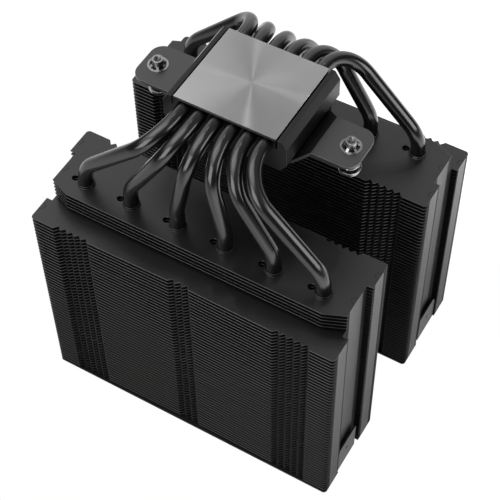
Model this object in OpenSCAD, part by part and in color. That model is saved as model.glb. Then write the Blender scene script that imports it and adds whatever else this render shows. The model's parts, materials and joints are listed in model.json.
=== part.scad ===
// Twin-tower heat-pipe processor cooler without its fans.
// It stands upside down on its two top covers, with the contact plate facing up.
// X runs across the towers, Y runs from the front tower to the rear tower.
// The origin is on the floor, under the centre of the contact plate.

/* [Whole cooler] */
// Height from the top covers to the contact face
cooler_h = 161; // [150:1:168]
// Width of a fin
fin_w = 135; // [128:1:142]
// Depth of one tower
tower_d = 42.2; // [41:0.1:44]
// Gap between the towers, where a fan hangs
fan_gap = 31.2; // [30:0.1:34]

/* [Fins] */
// Thickness of a fin
fin_t = 0.5; // [0.4:0.05:0.6]
// Distance from one fin to the next
fin_pitch = 2.035; // [1.9:0.005:2.1]
// Full-depth fins in a tower
full_fins = 50; // [40:5:50]
// Shortened fins in a tower, nearest the base
short_fins = 5; // [3:1:6]
// How far a shortened fin stops short of the tower's outer face
short_setback = 10.2; // [8:0.1:10.5]
// Thickness of a top cover
cover_t = 0.8; // [0.6:0.1:1]
// How far the clip recess is let into the fin ends
clip_recess = 2.5; // [2:0.1:3]
// Depth of the zigzag on the fins' long edges
tooth_depth = 1.5; // [1:0.1:2]
// Distance from one notch of the zigzag to the next
tooth_len = 3.15; // [3:0.05:3.3]

/* [Heat pipes] */
// Radius of a heat pipe
pipe_r = 3; // [2.8:0.1:3.2]
// Spacing of the pipes inside the base
base_pitch = 6.87; // [6.6:0.01:7.1]
// Spacing of the pipes inside the towers
tower_pitch = 21; // [20:0.1:21.5]
// Bend radius of the pipes' centre line
bend_r = 16; // [14:0.5:16]

/* [Base and mounting] */
// Width of the contact plate
plate_w = 43; // [42:0.5:44]
// Depth of the contact plate
plate_d = 41; // [40:0.5:42]
// Distance between the two mounting nuts
nut_spacing = 83; // [82:0.5:84]

/* [Hidden] */

groups = 5;
fin_group_size = full_fins / groups;
eps = 0.01;
round_fn = 48;

// Fin outline
half_w = fin_w / 2;
y_in = fan_gap / 2;
y_out = y_in + tower_d;
y_short = y_out - short_setback;
corner_r = 1.6;
recess_y = [y_in + 12.7, y_out - 11.4];
short_recess_end = y_short - 3.6;
short_chamfer_x = half_w - 11;
tip_setback = 0.45;
edge_bow = 0.45;
side_teeth = 5;
side_teeth_x = 41.1;

// Bent-down end flanges that close the sides of a tower, as [start, end] in Y
inner_flange = [y_in + 3.9, y_in + 10.9];
clip_flange = [y_in + 15.6, y_in + 26.1];
outer_flange = [y_out - 10.1, y_out - 3.3];
flange_gap = 0.35;
flange_h = fin_pitch - flange_gap;
clip_flange_from = 9;

// Pipe holes
row_y = y_in + 23.2;
hole_r = pipe_r + 0.05;
collar_t = 0.4;
collar_h = 1.2;
key_r = 1.35;
key_dx = 5.2;
key_neck = 1.5;

// Top cover's end tab
tab_y = [y_in + 15, y_out - 11.8];
tab_h = 15.4;
tab_x = half_w - 0.6;
tab_bevel = 3;
dimple_r = 1.6;
dimple_depth = 0.35;
dimple_z = 9;

// Pipe route
pipe_count = 6;
pipe_wall = 0.5;
wick_t = 0.55;
wick_clear = 0.02;
elbow_swell = 0.02;
elbow_lap = 0.3;
pipe_z = cooler_h - 4.5;
entry_z = 122;
neck_z = 6.5;
neck_r = 1.4;
tip_z = 1.9;
tip_end_z = 0.9;

// Base block, an end profile of half widths and heights
block_d = 40.6;
block_top = cooler_h - 0.1;
block_bottom = cooler_h - 15.7;
rail_w = 23.8;
block_w = 25.95;
block_shoulder_z = cooler_h - 3.4;
block_waist_z = cooler_h - 11.7;
block_foot_w = 23.2;
groove_w = 0.5;
plate_bevel = 0.5;

// Bracket, a bent strip under the base block
bracket_t = 1.4;
arm_top = cooler_h - 11.9;
arm_start = 30.3;
arm_end = 47.8;
arm_half_w = 10.2;
strap_half_w = 14.5;
strap_end = 25;
arm_corner_r = 5.5;
fold_shift = 0.4;
bracket_screw_x = 13;
screw_r = 1.5;
screw_head_r = 2.7;
screw_head_h = 1.9;
screw_head_chamfer = 0.6;
screw_bite = 5;
recess_w = 0.9;
recess_l = 3;
recess_depth = 1.1;

// Mounting nut
nut_x = nut_spacing / 2;
barrel_r = 2.2;
barrel_top = arm_top + 3.2;
thread_r = 1.5;
thread_depth = 10;
flange_r = 4.4;
flange_bottom = arm_top - 12.2;
flange_t = 1.5;
dome_r = 3.6;
dome_h = 1.1;
dome_chamfer = 0.6;
nut_recess_l = 4.5;
arm_hole_r = 2.6;
washer_r = 4.15;
washer_ring_r = 3.3;
washer_t = 0.25;
petal_count = 6;
petal_l = 1.52;
petal_w = 1;
petal_lap = 0.15;
petal_tilt = 40;

// Spring between a nut's flange and the bracket
wire_r = 0.45;
coil_r = 3.2;
coil_turns = 5;
coil_gap = 0.03;
coil_steps = 12;
wire_sides = 6;

black_coat = [0.11, 0.11, 0.12];
dark_nickel = [0.2, 0.2, 0.21];
polished = [0.72, 0.72, 0.73];
copper = [0.72, 0.42, 0.28];

// ---------- outline helpers ----------

// Zigzag that starts at x0 and is cut inwards from the height y
function zigzag(x0, count, y, inward) =
    [for (k = [0:count - 1]) for (p = [[0, 0], [0.5, inward * tooth_depth]])
        [x0 + (k + p[0]) * tooth_len, y + p[1]]];

// Right half of the three notches in the middle of an edge
function mid_notches(y, inward) = concat(
    [[0, y + inward * tooth_depth]],
    zigzag(tooth_len / 2, 1, y, inward),
    [[tooth_len * 1.5, y]]);

// Notches near the end of a long edge. Their tips lie a little inside the edge's end.
function side_notches(y, inward) = concat(
    zigzag(side_teeth_x, side_teeth, y + inward * tip_setback, inward),
    [[side_teeth_x + side_teeth * tooth_len, y]]);

function reversed(pts) = [for (k = [len(pts) - 1:-1:0]) pts[k]];
function mirrored_x(pts) = [for (p = pts) [-p[0], p[1]]];

// Right-hand end of a fin, up to where the clip recess starts
function inner_end() = concat(
    [[0, y_in + tip_setback]],
    side_notches(y_in, 1),
    [[half_w, y_in], [half_w, recess_y[0]], [half_w - clip_recess, recess_y[0]]]);

function full_half() = concat(
    inner_end(),
    [[half_w - clip_recess, recess_y[1]], [half_w, recess_y[1]], [half_w, y_out]],
    reversed(side_notches(y_out, -1)),
    reversed(mid_notches(y_out - tip_setback - edge_bow, -1)));

function short_half() = concat(
    inner_end(),
    [[half_w - clip_recess, short_recess_end], [short_chamfer_x, y_short], [0, y_short]]);

function cover_half() = [
    [0, y_in], [half_w, y_in], [half_w, recess_y[0]], [half_w - clip_recess, recess_y[0]],
    [half_w - clip_recess, recess_y[1]], [half_w, recess_y[1]], [half_w, y_out], [0, y_out]];

// Whole outline: the right half and its mirror image, without doubled points on X = 0
function whole(half) = concat(half, [for (p = reversed(mirrored_x(half))) if (p[0] < -eps) p]);

// What is cut off the corner at [x, y] and its twin at [-x, y] to round them to radius r,
// where the piece lies on the side dir of y
module corner_cuts(x, y, dir, r) {
    for (side = [0, 1])
        mirror([side, 0])
            difference() {
                translate([x, y]) square(2 * r, center = true);
                translate([x - r, y + dir * r]) circle(r = r, $fn = round_fn);
            }
}

function pipe_x(pitch, k) = (k - (pipe_count + 1) / 2) * pitch;

// ---------- towers ----------

// One pipe opening with its solder keyhole
module pipe_opening(r) {
    circle(r = r, $fn = round_fn);
    translate([-key_dx, 0]) circle(r = key_r, $fn = round_fn);
    translate([-key_dx, -key_neck / 2]) square([key_dx, key_neck]);
}

// Full-depth outline with this right half, and with round corners
module full_outline(half) {
    difference() {
        polygon(whole(half));
        corner_cuts(half_w, y_in, 1, corner_r);
        corner_cuts(half_w, y_out, -1, corner_r);
    }
}

module short_outline() {
    difference() {
        polygon(whole(short_half()));
        corner_cuts(half_w, y_in, 1, corner_r);
    }
}

// Sheet of the outline given as a child, pierced for the pipes
module fin_blank() {
    linear_extrude(fin_t)
        difference() {
            children();
            for (k = [1:pipe_count])
                translate([pipe_x(tower_pitch, k), row_y]) pipe_opening(hole_r);
        }
}

// Drawn collars round the pipe openings
module collars() {
    for (k = [1:pipe_count])
        translate([pipe_x(tower_pitch, k), row_y, fin_t - eps])
            linear_extrude(collar_h)
                difference() {
                    circle(r = hole_r + collar_t, $fn = round_fn);
                    pipe_opening(hole_r);
                }
}

// Bent-down flanges at both ends of a fin
module flange_pair(y_range, x) {
    for (side = [0, 1])
        mirror([side, 0, 0])
            translate([x - fin_t, y_range[0], fin_t - flange_h])
                cube([fin_t, y_range[1] - y_range[0], flange_h]);
}

module full_fin(index) {
    union() {
        fin_blank() full_outline(full_half());
        flange_pair(inner_flange, half_w);
        flange_pair(outer_flange, half_w);
        if (index >= clip_flange_from) flange_pair(clip_flange, half_w - clip_recess);
    }
}

module short_fin() {
    union() {
        fin_blank() short_outline();
        collars();
        flange_pair(inner_flange, half_w);
        flange_pair(clip_flange, half_w - clip_recess);
    }
}

// Height of the underside of fin number index, counted from the top cover
function fin_z(index) = cover_t + index * fin_pitch - fin_t;

module full_fins_between(first, last) {
    for (index = [first:last])
        translate([0, 0, fin_z(index)]) full_fin(index);
}

module short_fin_stack() {
    for (index = [full_fins + 1:full_fins + short_fins])
        translate([0, 0, fin_z(index)]) short_fin();
}

// Cover plate over the end of a tower, with a bent tab over each clip recess
module top_cover_plate() {
    difference() {
        union() {
            linear_extrude(cover_t)
                difference() {
                    full_outline(cover_half());
                    for (k = [1:pipe_count])
                        translate([pipe_x(tower_pitch, k), row_y]) circle(r = hole_r, $fn = round_fn);
                }
            for (side = [0, 1]) mirror([side, 0, 0]) cover_tab();
        }
        for (side = [0, 1])
            mirror([side, 0, 0])
                translate([tab_x + dimple_r - dimple_depth, (tab_y[0] + tab_y[1]) / 2, dimple_z])
                    sphere(r = dimple_r, $fn = round_fn);
    }
}

module cover_tab() {
    depth = tab_y[1] - tab_y[0];
    translate([half_w - clip_recess - 1, tab_y[0], 0])
        cube([tab_x - half_w + clip_recess + 1, depth, cover_t]);
    translate([tab_x - cover_t, tab_y[0], 0])
        rotate([90, 0, 90])
            linear_extrude(cover_t)
                polygon([[0, 0], [depth, 0], [depth, tab_h - tab_bevel], [depth - tab_bevel / 2, tab_h],
                         [0, tab_h]]);
}

module front() {
    mirror([0, 1, 0]) children();
}

module front_top_cover() { color(black_coat) front() top_cover_plate(); }
module rear_top_cover() { color(black_coat) top_cover_plate(); }
module front_short_fins() { color(black_coat) front() short_fin_stack(); }
module rear_short_fins() { color(black_coat) short_fin_stack(); }

module fin_group(g) {
    if (g <= groups) full_fins_between((g - 1) * fin_group_size + 1, g * fin_group_size);
}

module front_fins(g) { color(black_coat) front() fin_group(g); }
module rear_fins(g) { color(black_coat) fin_group(g); }

// ---------- heat pipes ----------

// A straight run inside the base, then one leg into each tower.
// k counts the pipes from the left, tip tells whether the legs end in a necked tip.
// The elbows are a hair thicker than the straight runs, which reach a little way into them.
module pipe_run(k, r, tip) {
    left = k <= pipe_count / 2;
    twin = left ? pipe_count + 1 - k : k;
    run_half = row_y - bend_r + elbow_lap;
    mirror([left ? 1 : 0, 0, 0])
        union() {
            translate([pipe_x(base_pitch, twin), -run_half, pipe_z])
                rotate([-90, 0, 0]) cylinder(h = 2 * run_half, r = r, $fn = round_fn);
            for (side = [0, 1]) mirror([0, side, 0]) pipe_leg(twin, r, tip);
        }
}

// Part of a ring of pipe, from the X axis round towards Y
module elbow(r, turn) {
    rotate_extrude(angle = turn, $fn = round_fn)
        translate([bend_r, 0]) circle(r = r + elbow_swell, $fn = round_fn);
}

// From the base out in +Y, down and sideways towards its hole, then straight down the tower
module pipe_leg(k, r, tip) {
    fan = pipe_x(tower_pitch, k) - pipe_x(base_pitch, k);
    drop = pipe_z - entry_z;
    lean = atan2(fan, drop);
    slope_len = sqrt(fan * fan + drop * drop);
    tangent = bend_r * tan(lean / 2);
    translate([pipe_x(base_pitch, k), 0, pipe_z])
        rotate([0, -lean, 0]) {
            translate([0, row_y - bend_r, -bend_r]) rotate([90, 0, 90]) elbow(r, 90);
            translate([0, row_y, tangent - slope_len - elbow_lap])
                cylinder(h = slope_len - tangent - bend_r + 2 * elbow_lap, r = r, $fn = round_fn);
        }
    translate([pipe_x(tower_pitch, k), row_y, 0]) {
        translate([-bend_r, 0, entry_z - tangent]) rotate([90, 0, 0]) elbow(r, lean);
        translate([0, 0, neck_z])
            cylinder(h = entry_z - tangent + elbow_lap - neck_z, r = r, $fn = round_fn);
        if (tip) pipe_tip();
    }
}

// Necked and sealed end of a pipe
module pipe_tip() {
    rotate_extrude($fn = round_fn)
        polygon([[0, tip_end_z], [neck_r, tip_end_z], [neck_r, tip_z], [pipe_r, neck_z], [0, neck_z]]);
}

module heat_pipe(k) {
    color(black_coat)
        difference() {
            pipe_run(k, pipe_r, true);
            pipe_run(k, pipe_r - pipe_wall, false);
        }
}

// Sintered lining inside a pipe
module pipe_wick(k) {
    color(copper)
        difference() {
            pipe_run(k, pipe_r - pipe_wall - wick_clear, false);
            pipe_run(k, pipe_r - pipe_wall - wick_t, false);
        }
}

// ---------- base ----------

module pipe_bores(length, r) {
    for (k = [1:pipe_count])
        translate([pipe_x(base_pitch, k), -length / 2, pipe_z])
            rotate([-90, 0, 0]) cylinder(h = length, r = r, $fn = round_fn);
}

// Polished plate, grooved underneath over the upper half of every pipe
module contact_plate() {
    color(polished)
        difference() {
            translate([-plate_w / 2, 0, 0])
                rotate([90, 0, 90])
                    linear_extrude(plate_w)
                        polygon([[-plate_d / 2, pipe_z], [plate_d / 2, pipe_z],
                                 [plate_d / 2, cooler_h - plate_bevel],
                                 [plate_d / 2 - plate_bevel, cooler_h],
                                 [-plate_d / 2 + plate_bevel, cooler_h],
                                 [-plate_d / 2, cooler_h - plate_bevel]]);
            pipe_bores(plate_d + 2, pipe_r);
        }
}

// Black block that holds the lower half of every pipe between two side rails
module base_block() {
    slot_w = plate_w / 2 + groove_w;
    color(black_coat)
        difference() {
            translate([0, block_d / 2, 0])
                rotate([90, 0, 0])
                    linear_extrude(block_d)
                        polygon(concat(block_side(1), reversed(block_side(-1))));
            translate([-slot_w, -block_d, pipe_z])
                cube([2 * slot_w, 2 * block_d, cooler_h]);
            pipe_bores(block_d + 2, pipe_r);
            for (side = [-1, 1])
                translate([side * bracket_screw_x, 0, block_bottom - 1])
                    cylinder(h = screw_bite + 1, r = screw_r, $fn = round_fn);
        }
}

function block_side(s) = [
    [s * block_foot_w, block_bottom], [s * block_w, block_waist_z],
    [s * block_w, block_shoulder_z], [s * rail_w, block_top]];

// ---------- mounting bracket ----------

function strip_side(s) = [
    [s * block_foot_w, block_bottom], [s * arm_start, arm_top], [s * arm_end, arm_top],
    [s * arm_end, arm_top - bracket_t], [s * (arm_start + fold_shift), arm_top - bracket_t],
    [s * (block_foot_w + fold_shift), block_bottom - bracket_t]];

// Right half of the strip seen from above
function strip_plan_half() = [
    [strap_end, -strap_half_w], [arm_start, -arm_half_w], [arm_end, -arm_half_w],
    [arm_end, arm_half_w], [arm_start, arm_half_w], [strap_end, strap_half_w]];

module strip_plan() {
    difference() {
        polygon(whole(strip_plan_half()));
        corner_cuts(arm_end, -arm_half_w, 1, arm_corner_r);
        corner_cuts(arm_end, arm_half_w, -1, arm_corner_r);
    }
}

module mounting_bracket() {
    color(black_coat)
        difference() {
            intersection() {
                translate([0, strap_half_w, 0])
                    rotate([90, 0, 0])
                        linear_extrude(2 * strap_half_w)
                            polygon(concat(strip_side(1), reversed(strip_side(-1))));
                translate([0, 0, block_bottom - 10])
                    linear_extrude(30) strip_plan();
            }
            for (side = [-1, 1]) {
                translate([side * nut_x, 0, block_bottom])
                    cylinder(h = 20, r = arm_hole_r, $fn = round_fn);
                translate([side * bracket_screw_x, 0, block_bottom - 5])
                    cylinder(h = 10, r = screw_r + 0.1, $fn = round_fn);
            }
        }
}

// Cross recess of a screw head, cut upwards from z = 0
module cross_recess(l) {
    for (turn = [0, 90])
        rotate([0, 0, turn])
            translate([-l / 2, -recess_w / 2, -1]) cube([l, recess_w, recess_depth + 1]);
}

module bracket_screw() {
    difference() {
        union() {
            rotate_extrude($fn = round_fn)
                polygon([[0, 0], [screw_head_r - screw_head_chamfer, 0], [screw_head_r, screw_head_chamfer],
                         [screw_head_r, screw_head_h], [0, screw_head_h]]);
            cylinder(h = screw_head_h + bracket_t + screw_bite - 0.5, r = screw_r, $fn = round_fn);
        }
        cross_recess(recess_l);
    }
}

module bracket_screws() {
    color(dark_nickel)
        for (side = [-1, 1])
            translate([side * bracket_screw_x, 0, block_bottom - bracket_t - screw_head_h])
                bracket_screw();
}

// ---------- mounting nuts ----------

// Threaded barrel with a sprung flange and a cross recess, on the axis x = 0
module mount_nut() {
    color(dark_nickel)
        difference() {
            union() {
                translate([0, 0, flange_bottom])
                    rotate_extrude($fn = round_fn)
                        polygon([[0, -dome_h], [dome_r - dome_chamfer, -dome_h], [dome_r, 0], [flange_r, 0],
                                 [flange_r, flange_t], [0, flange_t]]);
                translate([0, 0, flange_bottom])
                    cylinder(h = barrel_top - flange_bottom, r = barrel_r, $fn = round_fn);
            }
            translate([0, 0, barrel_top - thread_depth])
                cylinder(h = thread_depth + 1, r = thread_r, $fn = round_fn);
            translate([0, 0, flange_bottom - dome_h]) cross_recess(nut_recess_l);
        }
}

// Star washer on the barrel, with petals bent up. It stops the nut dropping through the bracket.
module retaining_washer(turn) {
    color(dark_nickel)
        translate([0, 0, arm_top])
            rotate(turn)
                union() {
                    difference() {
                        cylinder(h = washer_t, r = washer_r, $fn = round_fn);
                        translate([0, 0, -1]) cylinder(h = 2, r = washer_ring_r, $fn = round_fn);
                    }
                    for (k = [1:petal_count])
                        rotate(k * 360 / petal_count)
                            translate([washer_ring_r + petal_lap, 0, 0])
                                rotate([0, petal_tilt, 0])
                                    translate([-petal_l, -petal_w / 2, 0])
                                        cube([petal_l, petal_w, washer_t]);
                }
}

// Ring k of the wire, a closed loop of points square to the coil
function wire_ring(k, z0, z1) =
    let (turn = k / coil_steps, a = 360 * turn, z = z0 + (z1 - z0) * turn / coil_turns)
    [for (s = [0:wire_sides - 1])
        let (b = 360 * s / wire_sides, r = coil_r + wire_r * cos(b))
        [r * cos(a), r * sin(a), z + wire_r * sin(b)]];

module coil_spring() {
    z0 = flange_bottom + flange_t + wire_r + coil_gap;
    z1 = arm_top - bracket_t - wire_r - coil_gap;
    rings = round(coil_steps * coil_turns);
    last = rings * wire_sides;
    color(dark_nickel)
        polyhedron(
            points = [for (k = [0:rings]) each wire_ring(k, z0, z1)],
            faces = concat(
                [[for (s = [0:wire_sides - 1]) s]],
                [[for (s = [wire_sides - 1:-1:0]) last + s]],
                [for (k = [0:rings - 1]) for (s = [0:wire_sides - 1])
                    let (a = k * wire_sides + s, b = k * wire_sides + (s + 1) % wire_sides)
                    [b, a, a + wire_sides, b + wire_sides]]));
}

module on_left() { translate([-nut_x, 0, 0]) children(); }
module on_right() { translate([nut_x, 0, 0]) children(); }

module left_mount_nut() { on_left() mount_nut(); }
module left_retaining_washer() { on_left() retaining_washer(0); }
module left_spring() { on_left() coil_spring(); }
module right_mount_nut() { on_right() mount_nut(); }
module right_retaining_washer() { on_right() retaining_washer(30); }
module right_spring() { on_right() coil_spring(); }

// ---------- assembly ----------

contact_plate();
base_block();
mounting_bracket();
bracket_screws();
for (k = [1:pipe_count]) {
    heat_pipe(k);
    pipe_wick(k);
}
front_top_cover();
rear_top_cover();
front_short_fins();
rear_short_fins();
for (g = [1:5]) {
    front_fins(g);
    rear_fins(g);
}
left_mount_nut();
left_retaining_washer();
left_spring();
right_mount_nut();
right_retaining_washer();
right_spring();
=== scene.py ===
"""Looks of a twin-tower processor cooler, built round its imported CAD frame. Metres, +Z up."""

import json
import math

import bmesh
import bpy
from mathutils import Matrix, Vector


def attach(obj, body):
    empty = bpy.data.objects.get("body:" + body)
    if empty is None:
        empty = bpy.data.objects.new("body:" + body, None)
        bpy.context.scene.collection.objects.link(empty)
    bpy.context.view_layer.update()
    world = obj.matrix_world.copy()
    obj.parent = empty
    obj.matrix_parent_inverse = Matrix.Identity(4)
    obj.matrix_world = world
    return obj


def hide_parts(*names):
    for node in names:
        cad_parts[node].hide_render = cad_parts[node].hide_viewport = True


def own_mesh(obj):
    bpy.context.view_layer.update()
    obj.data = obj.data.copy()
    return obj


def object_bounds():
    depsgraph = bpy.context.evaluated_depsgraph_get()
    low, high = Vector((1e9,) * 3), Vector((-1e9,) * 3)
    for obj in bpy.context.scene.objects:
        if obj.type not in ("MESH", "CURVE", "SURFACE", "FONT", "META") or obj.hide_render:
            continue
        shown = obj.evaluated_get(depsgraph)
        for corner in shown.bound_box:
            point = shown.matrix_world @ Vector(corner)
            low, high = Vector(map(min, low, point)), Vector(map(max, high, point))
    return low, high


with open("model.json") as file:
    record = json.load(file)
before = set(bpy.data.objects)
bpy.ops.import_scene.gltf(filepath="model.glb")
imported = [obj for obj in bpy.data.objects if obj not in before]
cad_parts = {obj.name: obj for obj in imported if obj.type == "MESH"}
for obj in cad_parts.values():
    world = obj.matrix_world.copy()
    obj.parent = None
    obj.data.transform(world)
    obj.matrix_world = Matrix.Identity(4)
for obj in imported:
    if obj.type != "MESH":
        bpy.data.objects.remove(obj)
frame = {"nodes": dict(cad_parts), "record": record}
cad_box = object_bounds()

MM = 0.001

# Driving dimensions, in millimetres, as the frame has them
HEIGHT = cad_box[1].z / MM
HALF_WIDTH = cad_box[1].x / MM
PIPE_COUNT = 6
PIPE_R = 3.0
BASE_PITCH = 6.87
TOWER_PITCH = 21.0
BEND_R = 16.0
ROW_Y = 38.8
PIPE_Z = HEIGHT - 4.5
ENTRY_Z = 122.0
NECK_Z = 6.5
NECK_R = 1.4
TIP_Z = 1.9
TIP_END_Z = 0.9
NUT_X = 41.5
ARM_TOP = HEIGHT - 11.9
ARM_T = 1.4
FLANGE_TOP = ARM_TOP - 10.7
BARREL_TOP = ARM_TOP + 3.2
FIN_PITCH = 2.035
COVER_T = 0.8

# Closed pipe tips, from the neck down, as (share of the tip's height, share of the radius)
TIP_PROFILE = ((0.8, 0.93), (0.6, 0.75), (0.3, 0.32), (0.1, 0.05), (0, 0))
TIP_RIM = 0.3
TIP_CAP = 0.75
BEND_SQUEEZE = 0.97
PIPE_SIDES = 40
LEG_STEPS = 8
ARC_STEP = 3.0
# Distance from a bend to the nearest ring of the straight beside it
END_GAP = 1.0

# Compression springs
WIRE_R = 0.45
COIL_R = 3.2
COIL_TURNS = 6.5
DEAD_TURNS = 0.75
CLOSED_RISE = 1.9
SEAT_GAP = 0.03
COIL_STEPS = 40
WIRE_SIDES = 10

# Internal threads of the nuts
THREAD_R = 1.5
THREAD_CREST = 0.13
THREAD_PITCH = 0.5
THREAD_TURNS = 8
THREAD_START = 0.35
THREAD_STEPS = 32
THREAD_SIDES = 6

# Where the end flanges lock together, as (distance from the middle in Y, end face in X)
LOCKS = ((22.4, HALF_WIDTH), (36.6, HALF_WIDTH - 2.5), (50.8, HALF_WIDTH))
LOCK_REACH = 0.1
DOT_OFFSET = 1.0
DOT_R = 0.24
MOON = (2.1, 1.6)
MOON_LINE = 0.06
MOON_INSET = 0.3
# Depth of the marks, in grain depths
MARK_DEPTH = 6.0

# Camera, in metres and degrees
LENS_MM = 102.1
SENSOR_MM = 36
CLIP = (0.01, 20)
CAMERA_TARGET = (0.0066, -0.0144, 0.080)
CAMERA_AZIMUTH = 31.05
CAMERA_ELEVATION = 53.07
CAMERA_DISTANCE = 0.5728
CAMERA_ROLL = -1.01

# Radiance of the studio, where 1 is white
ROOM_DIM = 0.10
ROOM_CEILING = 0.6
LEFT_SKY = 2.4
BACKDROP = 1.6
BACKDROP_RIGHT = 0.05
FLOOR_LIGHT = 1.2
CONTACT_LIGHT = 0.35
LEFT_LIGHT = 0.9
RIGHT_LIGHT = 2.1
# Where each zone of the room fades in, from start to end of a direction's share along an axis
CEILING_FADE = (0.15, 0.85)
LEFT_FADE = (-0.33, -0.47)
HIGH_FADE = (0.25, 0.5)
BEHIND_FADE = (0.50, 0.75)
BEHIND_RIGHT_FADE = (0.2, 0.6)
# Where each zone of the floor fades in, in metres
FLOOR_SIZE = 12
FLOOR_DROP = 0.0002
CONTACT_FADE = (0.0, 0.1)
FAR_FADE = (0.25, 1.3)
BACK_FADE = (0.2, 0.7)
RIGHT_FADE = (-0.05, 0.2)
# Lamps as (name, azimuth, elevation, distance, (width, height), radiance)
LAMP_TARGET = (0, 0, 0.1)
LAMPS = (
    ("front", -12, 18, 1.5, (1.0, 0.95), 4.4),
    ("right", 88, 22, 1.5, (1.05, 0.5), 4.6),
    ("overhead", -36, 65, 1.6, (1.4, 1.3), 2.6),
    ("strip_high", -142, 72, 1.6, (0.02, 0.2), 65),
    ("strip_back", -177, 52, 1.6, (0.04, 0.15), 24),
)

# Edges of the CAD nodes, as (node, width, segments), and what counts as flat or sharp, in degrees
FIN_EDGE = 0.15
EDGES = (
    ("front_top_cover", 0.12, 1),
    ("rear_top_cover", 0.12, 1),
    ("base_block", 0.12, 1),
    ("contact_plate", 0.08, 1),
    ("mounting_bracket", 0.2, 2),
    ("bracket_screws", 0.1, 1),
    ("left_mount_nut", 0.12, 2),
    ("right_mount_nut", 0.12, 2),
    ("left_retaining_washer", 0.05, 1),
    ("right_retaining_washer", 0.05, 1),
)
WELD_GAP = 0.002
FLAT_ANGLE = 1
SHARP_ANGLE = 35

# The middle part of a noise texture's range, which its values seldom leave
NOISE_RANGE = (0.3, 0.7)


# ---------- camera, floor and light ----------


def look_at(obj, target, azimuth, elevation, distance, roll=0.0):
    a, e, r = (math.radians(v) for v in (azimuth, elevation, roll))
    back = Vector((math.sin(a) * math.cos(e), -math.cos(a) * math.cos(e), math.sin(e)))
    right = Vector((math.cos(a), math.sin(a), 0))
    up = back.cross(right)
    axes = (
        math.cos(r) * right + math.sin(r) * up,
        math.cos(r) * up - math.sin(r) * right,
        back,
    )
    place = Matrix(axes).transposed().to_4x4()
    place.translation = Vector(target) + back * distance
    obj.matrix_world = place


def make_camera():
    data = bpy.data.cameras.new("camera")
    data.sensor_width = SENSOR_MM
    data.lens = LENS_MM
    data.clip_start, data.clip_end = CLIP
    camera = bpy.data.objects.new("camera", data)
    bpy.context.scene.collection.objects.link(camera)
    bpy.context.scene.camera = camera
    look_at(
        camera,
        CAMERA_TARGET,
        CAMERA_AZIMUTH,
        CAMERA_ELEVATION,
        CAMERA_DISTANCE,
        CAMERA_ROLL,
    )


def softbox(name, azimuth, elevation, distance, size, radiance):
    """A rectangular lamp that looks at the object. size is (width, height)."""
    data = bpy.data.lights.new(name, "AREA")
    data.shape = "RECTANGLE"
    data.size, data.size_y = size
    data.energy = 4 * size[0] * size[1] * radiance
    lamp = bpy.data.objects.new(name, data)
    bpy.context.scene.collection.objects.link(lamp)
    look_at(lamp, LAMP_TARGET, azimuth, elevation, distance)


def shader_math(tree, operation, *values):
    """A math node over numbers and sockets."""
    made = tree.nodes.new("ShaderNodeMath")
    made.operation = operation
    for socket, value in zip(made.inputs, values):
        if isinstance(value, bpy.types.NodeSocket):
            tree.links.new(value, socket)
        else:
            socket.default_value = value
    return made.outputs[0]


def set_range(node, start, end, low, high):
    names = ("From Min", "From Max", "To Min", "To Max")
    for name, number in zip(names, (start, end, low, high)):
        node.inputs[name].default_value = number


def remap(tree, value, start, end, low, high):
    """value from start to end, as a smooth step from low to high."""
    made = tree.nodes.new("ShaderNodeMapRange")
    made.interpolation_type = "SMOOTHSTEP"
    tree.links.new(value, made.inputs["Value"])
    set_range(made, start, end, low, high)
    return made.outputs["Result"]


def make_world():
    """A dim room, with a bright sky high on the left and a bright backdrop behind."""
    world = bpy.data.worlds.new("studio")
    bpy.context.scene.world = world
    world.use_nodes = True
    tree = world.node_tree
    tree.nodes.clear()
    split = tree.nodes.new("ShaderNodeSeparateXYZ")
    place = tree.nodes.new("ShaderNodeTexCoord").outputs["Generated"]
    tree.links.new(place, split.inputs[0])
    x, y, z = (split.outputs[axis] for axis in "XYZ")
    ceiling = remap(tree, z, *CEILING_FADE, ROOM_DIM, ROOM_CEILING)
    left = remap(tree, x, *LEFT_FADE, 0.0, LEFT_SKY)
    high = remap(tree, z, *HIGH_FADE, 0.0, 1.0)
    behind = remap(tree, y, *BEHIND_FADE, 0.0, BACKDROP)
    kept = remap(tree, x, *BEHIND_RIGHT_FADE, 1.0, BACKDROP_RIGHT)
    back = shader_math(tree, "MULTIPLY", behind, kept)
    seen = tree.nodes.new("ShaderNodeLightPath").outputs["Is Camera Ray"]
    light = tree.nodes.new("ShaderNodeBackground")
    sky = shader_math(tree, "MAXIMUM", shader_math(tree, "MULTIPLY", left, high), back)
    lit = shader_math(tree, "MAXIMUM", ceiling, sky)
    tree.links.new(shader_math(tree, "MAXIMUM", lit, seen), light.inputs["Strength"])
    out = tree.nodes.new("ShaderNodeOutputWorld")
    tree.links.new(light.outputs[0], out.inputs["Surface"])


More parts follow.
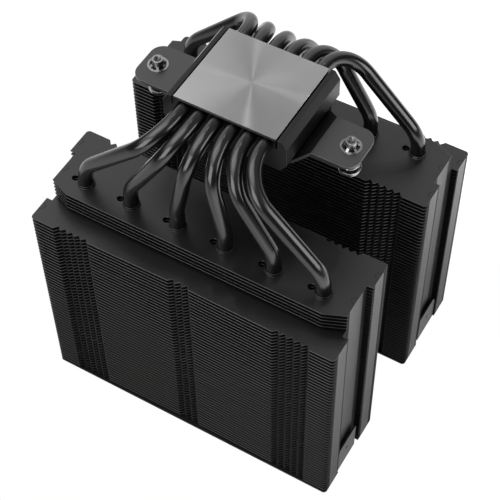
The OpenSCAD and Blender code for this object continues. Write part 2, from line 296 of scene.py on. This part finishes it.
def make_floor():
    """White to the camera. The light that it gives off fades far away and close to the object."""
    bpy.ops.mesh.primitive_plane_add(size=FLOOR_SIZE, location=(0, 0, -FLOOR_DROP))
    floor = bpy.context.object
    floor.name = "floor"
    mat = bpy.data.materials.new("floor")
    mat.use_nodes = True
    tree = mat.node_tree
    tree.nodes.clear()
    place = tree.nodes.new("ShaderNodeTexCoord").outputs["Object"]
    split = tree.nodes.new("ShaderNodeSeparateXYZ")
    length = tree.nodes.new("ShaderNodeVectorMath")
    length.operation = "LENGTH"
    for socket in (split.inputs[0], length.inputs[0]):
        tree.links.new(place, socket)
    gaps = [
        shader_math(tree, "SUBTRACT", shader_math(tree, "ABSOLUTE", split.outputs[axis]), half)
        for axis, half in zip("XY", cad_box[1])
    ]
    outside = shader_math(tree, "MAXIMUM", *gaps)
    near = remap(tree, outside, *CONTACT_FADE, CONTACT_LIGHT, 1.0)
    far = remap(tree, length.outputs["Value"], *FAR_FADE, FLOOR_LIGHT, ROOM_DIM)
    back = remap(tree, split.outputs["Y"], *BACK_FADE, 0.0, 1.0)
    right = remap(tree, split.outputs["X"], *RIGHT_FADE, LEFT_LIGHT, RIGHT_LIGHT)
    glow = shader_math(tree, "MULTIPLY", near, shader_math(tree, "MAXIMUM", far, back))
    glow = shader_math(tree, "MULTIPLY", glow, right)
    seen = tree.nodes.new("ShaderNodeLightPath").outputs["Is Camera Ray"]
    shine = tree.nodes.new("ShaderNodeEmission")
    tree.links.new(shader_math(tree, "MAXIMUM", glow, seen), shine.inputs["Strength"])
    out = tree.nodes.new("ShaderNodeOutputMaterial")
    tree.links.new(shine.outputs[0], out.inputs["Surface"])
    floor.data.materials.append(mat)


# ---------- material helpers ----------


class Finish:
    """A material under construction: a Principled shader and the nodes that drive it."""

    def __init__(self, name, metallic=0.0, specular=0.5):
        self.mat = bpy.data.materials.new(name)
        self.mat.use_nodes = True
        self.tree = self.mat.node_tree
        self.bsdf = self.tree.nodes["Principled BSDF"]
        self.bsdf.inputs["Metallic"].default_value = metallic
        self.bsdf.inputs["Specular IOR Level"].default_value = specular
        self.coords = self.node("ShaderNodeTexCoord").outputs["Object"]

    def node(self, kind, **inputs):
        made = self.tree.nodes.new(kind)
        for name, value in inputs.items():
            self.put(made, name.replace("_", " "), value)
        return made

    def put(self, node, name, value):
        if isinstance(value, bpy.types.NodeSocket):
            self.tree.links.new(value, node.inputs[name])
        else:
            node.inputs[name].default_value = value

    def noise(self, scale, detail):
        texture = self.node(
            "ShaderNodeTexNoise", Vector=self.coords, Scale=scale, Detail=detail
        )
        return texture.outputs["Fac"]

    def spread(self, noise, low, high):
        """A noise as a number from low to high."""
        made = self.node("ShaderNodeMapRange", Value=noise)
        set_range(made, *NOISE_RANGE, low, high)
        return made.outputs["Result"]

    def math(self, operation, *values):
        return shader_math(self.tree, operation, *values)

    def colour(self, fac, low, high):
        """A colour between low and high, which are colours or sockets, by fac."""
        made = self.tree.nodes.new("ShaderNodeMix")
        made.data_type = "RGBA"
        self.tree.links.new(fac, made.inputs["Factor"])
        for name, value in (("A", low), ("B", high)):
            self.put(made, name, (*value, 1) if isinstance(value, tuple) else value)
        return made.outputs["Result"]

    def bump(self, height, strength, distance):
        made = self.node("ShaderNodeBump", Height=height, Strength=strength, Distance=distance)
        self.set("Normal", made.outputs[0])

    def set(self, name, value):
        self.put(self.bsdf, name, value)


def grey(value, warm=0.0):
    """A grey, or with warm above or below 0 a warmer or cooler one."""
    return (value * (1 + warm), value, value * (1 - warm))


def coated(
    name, tone, roughness, specular=0.5, grain=900, grain_depth=0.00002, marks=None
):
    """Thin black coating: cloudy tone and gloss, with a fine powder grain.
    marks may be a function that gives the mask of the metal's pressed marks."""
    made = Finish(name, specular=specular)
    cloud = made.noise(35, 4)
    gloss = made.spread(cloud, roughness - 0.02, roughness + 0.03)
    height = made.noise(grain, 2)
    shade = made.colour(cloud, grey(tone * 0.8), grey(tone * 1.25, -0.02))
    if marks:
        mask = marks(made)
        gloss = made.math("MAXIMUM", gloss, mask)
        height = made.math("SUBTRACT", height, made.math("MULTIPLY", mask, MARK_DEPTH))
    made.set("Base Color", shade)
    made.set("Roughness", gloss)
    made.bump(height, 0.25, grain_depth)
    return made.mat


def fin_marks(made):
    """Dots that lock each fin's end flanges to the next, and the half-moon cuts above them."""
    split = made.node("ShaderNodeSeparateXYZ", Vector=made.coords)
    x, y = (
        made.math("MULTIPLY", made.math("ABSOLUTE", split.outputs[axis]), 1 / MM)
        for axis in "XY"
    )
    above = made.math("SUBTRACT", split.outputs["Z"], COVER_T * MM)
    fin = made.math("DIVIDE", above, FIN_PITCH * MM)
    share = made.math("SUBTRACT", made.math("FRACT", fin), 0.5)
    rise = made.math("MULTIPLY", share, FIN_PITCH)

    def near(value, target, reach):
        gap = made.math("ABSOLUTE", made.math("SUBTRACT", value, target))
        return made.math("LESS_THAN", gap, reach)

    def oval(u, v, u_reach, v_reach):
        squares = [
            made.math("POWER", made.math("DIVIDE", value, reach), 2)
            for value, reach in ((u, u_reach), (v, v_reach))
        ]
        return made.math("SQRT", made.math("ADD", *squares))

    mask = None
    for centre, face in LOCKS:
        across = made.math("SUBTRACT", y, centre)
        pair = made.math("SUBTRACT", made.math("ABSOLUTE", across), DOT_OFFSET)
        dot = made.math("LESS_THAN", oval(pair, rise, DOT_R, DOT_R), 1)
        dot = made.math("MULTIPLY", dot, near(x, face, LOCK_REACH))
        inward = made.math("SUBTRACT", face, x)
        moon = near(oval(inward, across, *MOON), 1, MOON_LINE)
        moon = made.math("MULTIPLY", moon, made.math("GREATER_THAN", inward, MOON_INSET))
        for part in (dot, moon):
            mask = made.math("MAXIMUM", mask, part) if mask else part
    return mask


def plated(name, tone, roughness, scale):
    """Bright or dark plating over metal, with small gloss changes."""
    made = Finish(name, metallic=1.0)
    cloud = made.noise(scale, 5)
    made.set("Base Color", made.colour(cloud, grey(tone * 0.85), grey(tone * 1.1)))
    made.set("Roughness", made.spread(cloud, roughness - 0.05, roughness + 0.07))
    made.bump(made.noise(scale * 12, 2), 0.12, 0.00001)
    return made.mat


def turned_plate():
    """Nickel face turned on a lathe, with grooves round its centre. The plate's sides are coated."""
    made = Finish("polished_plate", metallic=1.0)
    outward = made.node("ShaderNodeVectorMath")
    outward.operation = "MULTIPLY"
    made.put(outward, 0, made.coords)
    outward.inputs[1].default_value = (1, 1, 0)
    made.set("Tangent", outward.outputs[0])
    made.set("Anisotropic", 1.0)
    cloud = made.noise(60, 4)
    height = made.node("ShaderNodeSeparateXYZ", Vector=made.coords).outputs["Z"]
    bare = made.math("GREATER_THAN", height, (HEIGHT - 0.02) * MM)
    metal = made.colour(cloud, grey(0.34), grey(0.38))
    made.set("Base Color", made.colour(bare, grey(0.012), metal))
    made.set("Roughness", made.spread(cloud, 0.15, 0.17))
    return made.mat


def sintered():
    """Rough sintered copper powder."""
    made = Finish("sintered_copper", metallic=1.0)
    grain = made.noise(2500, 3)
    made.set("Base Color", made.colour(grain, (0.45, 0.2, 0.12), (0.75, 0.4, 0.26)))
    made.set("Roughness", 0.6)
    made.bump(grain, 0.6, 0.00005)
    return made.mat


FINISHES = {
    "fin_black": coated("fin_black", 0.002, 0.32, marks=fin_marks),
    "cover_black": coated("cover_black", 0.003, 0.33),
    "block_black": coated("block_black", 0.0015, 0.30, specular=0.28),
    "bracket_black": coated("bracket_black", 0.006, 0.36, specular=0.65, grain=1800),
    "pipe_black": coated("pipe_black", 0.002, 0.20, grain=700, grain_depth=0.000004),
    "hardware_dark": plated("hardware_dark", 0.27, 0.20, 400),
    "polished_plate": turned_plate(),
    "sintered_copper": sintered(),
}


def slot_of(node):
    """The record's material slot of a CAD node."""
    for part in frame["record"]["subparts"]:
        if part["node"] == node:
            return part["material_slot"]
    raise KeyError(node)


def paint_cad():
    for name, obj in frame["nodes"].items():
        obj.data.materials.clear()
        obj.data.materials.append(FINISHES[slot_of(name)])


# ---------- mesh helpers ----------


def soften(node, width, segments=1, clamp=True):
    """Rounds the sharp edges of a CAD node with modifiers, and leaves its mesh alone."""
    obj = frame["nodes"][node]
    weld = obj.modifiers.new("weld", "WELD")
    weld.merge_threshold = WELD_GAP * MM
    flat = obj.modifiers.new("flat", "DECIMATE")
    flat.decimate_type = "DISSOLVE"
    flat.angle_limit = math.radians(FLAT_ANGLE)
    bevel = obj.modifiers.new("bevel", "BEVEL")
    bevel.width = width * MM
    bevel.segments = segments
    bevel.limit_method = "ANGLE"
    bevel.angle_limit = math.radians(SHARP_ANGLE)
    bevel.harden_normals = True
    bevel.use_clamp_overlap = clamp


def soften_cad():
    """Edges as pressed, machined and folded metal has them."""
    for node in frame["nodes"]:
        if "fins" in node:
            soften(node, FIN_EDGE, clamp=False)
    for node, width, segments in EDGES:
        soften(node, width, segments)


def new_piece(name, mesh, body, slot, *replaced):
    """A smooth object from mesh that rides on body and stands for the replaced CAD nodes."""
    piece = bpy.data.objects.new(name, mesh)
    bpy.context.scene.collection.objects.link(piece)
    mesh.materials.append(FINISHES[slot])
    for polygon in mesh.polygons:
        polygon.use_smooth = True
    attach(piece, body)
    if replaced:
        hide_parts(*replaced)
    return piece


def sweep(name, path, radii, sides, squeeze=None):
    """A closed tube along path, with a radius for each point and frames that don't twist.
    squeeze gives for each point a (direction, factor) that narrows the section, or None."""
    points = [Vector(p) for p in path]
    last = len(points) - 1
    tangents = [
        (points[min(i + 1, last)] - points[max(i - 1, 0)]).normalized() for i in range(last + 1)
    ]
    side = tangents[0].orthogonal().normalized()
    bm = bmesh.new()
    rings = []
    for i, (point, tangent) in enumerate(zip(points, tangents)):
        side = (side - tangent * side.dot(tangent)).normalized()
        other = tangent.cross(side)
        ring = []
        for s in range(sides):
            a = 2 * math.pi * s / sides
            offset = (side * math.cos(a) + other * math.sin(a)) * radii[i]
            if squeeze and squeeze[i]:
                direction, factor = squeeze[i]
                offset -= direction * offset.dot(direction) * (1 - factor)
            ring.append(bm.verts.new((point + offset) * MM))
        rings.append(ring)
    for a, b in zip(rings, rings[1:]):
        for s in range(sides):
            t = (s + 1) % sides
            bm.faces.new((a[s], a[t], b[t], b[s]))
    bm.faces.new(list(reversed(rings[0])))
    bm.faces.new(rings[-1])
    bmesh.ops.recalc_face_normals(bm, faces=bm.faces)
    mesh = bpy.data.meshes.new(name)
    bm.to_mesh(mesh)
    bm.free()
    return mesh


# ---------- heat pipes ----------


def pipe_x(pitch, k):
    """X of pipe k in a row of the given pitch."""
    return (k - (PIPE_COUNT + 1) / 2) * pitch


def arc_steps(angle):
    """Angles from 0 to angle, in even steps."""
    count = max(2, math.ceil(math.degrees(angle) / ARC_STEP))
    return [angle * i / count for i in range(count + 1)]


def pipe_leg(x_base, x_tower):
    """Centre line of one leg in +Y, from the base to the tip, as (point, bend direction or None)."""
    fan = x_tower - x_base
    drop = PIPE_Z - ENTRY_Z
    lean = math.atan2(fan, drop)
    slope = math.hypot(fan, drop)
    tangent = BEND_R * math.tan(lean / 2)
    along_y = Vector((0, 1, 0))
    down = Vector((math.sin(lean), 0, -math.cos(lean)))
    corner = Vector((x_base, ROW_Y, PIPE_Z))
    line = [(Vector((x_base, y, PIPE_Z)), None) for y in (0, ROW_Y - BEND_R - END_GAP)]
    for t in arc_steps(math.pi / 2):
        before = along_y * BEND_R * (1 - math.sin(t))
        after = down * BEND_R * (1 - math.cos(t))
        line.append((corner - before + after, along_y * math.sin(t) - down * math.cos(t)))
    line.append((corner + down * (BEND_R + END_GAP), None))
    line.append((corner + down * (slope - tangent - END_GAP), None))
    centre = Vector((x_tower - BEND_R, ROW_Y, ENTRY_Z - tangent))
    for t in reversed(arc_steps(lean)):
        spoke = Vector((math.cos(t), 0, math.sin(t)))
        line.append((centre + spoke * BEND_R, spoke))
    straight_top = ENTRY_Z - tangent - END_GAP
    for i in range(LEG_STEPS + 1):
        z = straight_top + (NECK_Z - straight_top) * i / LEG_STEPS
        line.append((Vector((x_tower, ROW_Y, z)), None))
    return line


def heat_pipe(k):
    """Pipe k, counted from the left: one run through the base and a leg into each tower."""
    side = 1 if k > PIPE_COUNT / 2 else -1
    x_base, x_tower = (abs(pipe_x(pitch, k)) for pitch in (BASE_PITCH, TOWER_PITCH))
    leg = pipe_leg(x_base, x_tower)
    tip = [
        (TIP_Z + (NECK_Z - TIP_Z) * rise, NECK_R + (PIPE_R - NECK_R) * width)
        for rise, width in TIP_PROFILE
    ]
    tip += [(TIP_END_Z + TIP_RIM, NECK_R), (TIP_END_Z, NECK_R * TIP_CAP)]
    radii = [PIPE_R] * len(leg) + [r for _, r in tip]
    leg += [(Vector((x_tower, ROW_Y, z)), None) for z, _ in tip]

    def turned(entry, y_sign):
        point, bend = entry
        flip = Vector((side, y_sign, 1))
        return point * flip, (bend * flip, BEND_SQUEEZE) if bend else None

    rear = [turned(e, 1) for e in leg]
    front = [turned(e, -1) for e in leg[1:]]
    line = list(reversed(front)) + rear
    mesh = sweep(
        f"pipe_{k}",
        [p for p, _ in line],
        list(reversed(radii[1:])) + radii,
        PIPE_SIDES,
        [b for _, b in line],
    )
    new_piece(f"pipe_{k}", mesh, "cooler", "pipe_black", f"heat_pipe_{k}")


# ---------- springs ----------


def around(side, radius, turn, z):
    """A point on a helix round the axis of the left or right nut."""
    x = NUT_X if side == "right" else -NUT_X
    angle = 2 * math.pi * turn
    return (x + radius * math.cos(angle), radius * math.sin(angle), z)


def spring(side):
    """Compression spring with closed ends, between the nut's flange and the arm."""
    low = FLANGE_TOP + WIRE_R + SEAT_GAP
    high = ARM_TOP - ARM_T - WIRE_R - SEAT_GAP
    # A dead turn at an end rises by about one wire, and the turns between share the rest
    closed = WIRE_R * CLOSED_RISE
    span = high - low - closed * 2 * DEAD_TURNS
    path = []
    for i in range(int(COIL_TURNS * COIL_STEPS) + 1):
        turn = i / COIL_STEPS
        share = min(max((turn - DEAD_TURNS) / (COIL_TURNS - 2 * DEAD_TURNS), 0), 1)
        dead = min(turn, DEAD_TURNS) + max(turn - COIL_TURNS + DEAD_TURNS, 0)
        path.append(around(side, COIL_R, turn, low + closed * dead + span * share))
    mesh = sweep(f"{side}_coil", path, [WIRE_R] * len(path), WIRE_SIDES)
    piece = new_piece(f"{side}_coil", mesh, "cooler", "hardware_dark", f"{side}_spring")
    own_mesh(piece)


# ---------- nut threads ----------


def thread(side):
    """Crest of the internal thread, at the open end of a nut's barrel."""
    top = BARREL_TOP - THREAD_START
    path, radii = [], []
    for i in range(THREAD_TURNS * THREAD_STEPS + 1):
        turn = i / THREAD_STEPS
        path.append(around(side, THREAD_R, turn, top - THREAD_PITCH * turn))
        # The crest runs out over the first and last quarter turn
        end = min(turn, THREAD_TURNS - turn)
        radii.append(THREAD_CREST * min(1, 4 * end + 0.1))
    mesh = sweep(f"{side}_thread", path, radii, THREAD_SIDES)
    new_piece(f"{side}_thread", mesh, f"{side}_nut", "hardware_dark")


# ---------- build ----------


bpy.context.scene.view_settings.view_transform = "Standard"
make_camera()
make_world()
make_floor()
for lamp in LAMPS:
    softbox(*lamp)

paint_cad()
soften_cad()
for number in range(1, PIPE_COUNT + 1):
    heat_pipe(number)
for side in ("left", "right"):
    spring(side)
    thread(side)
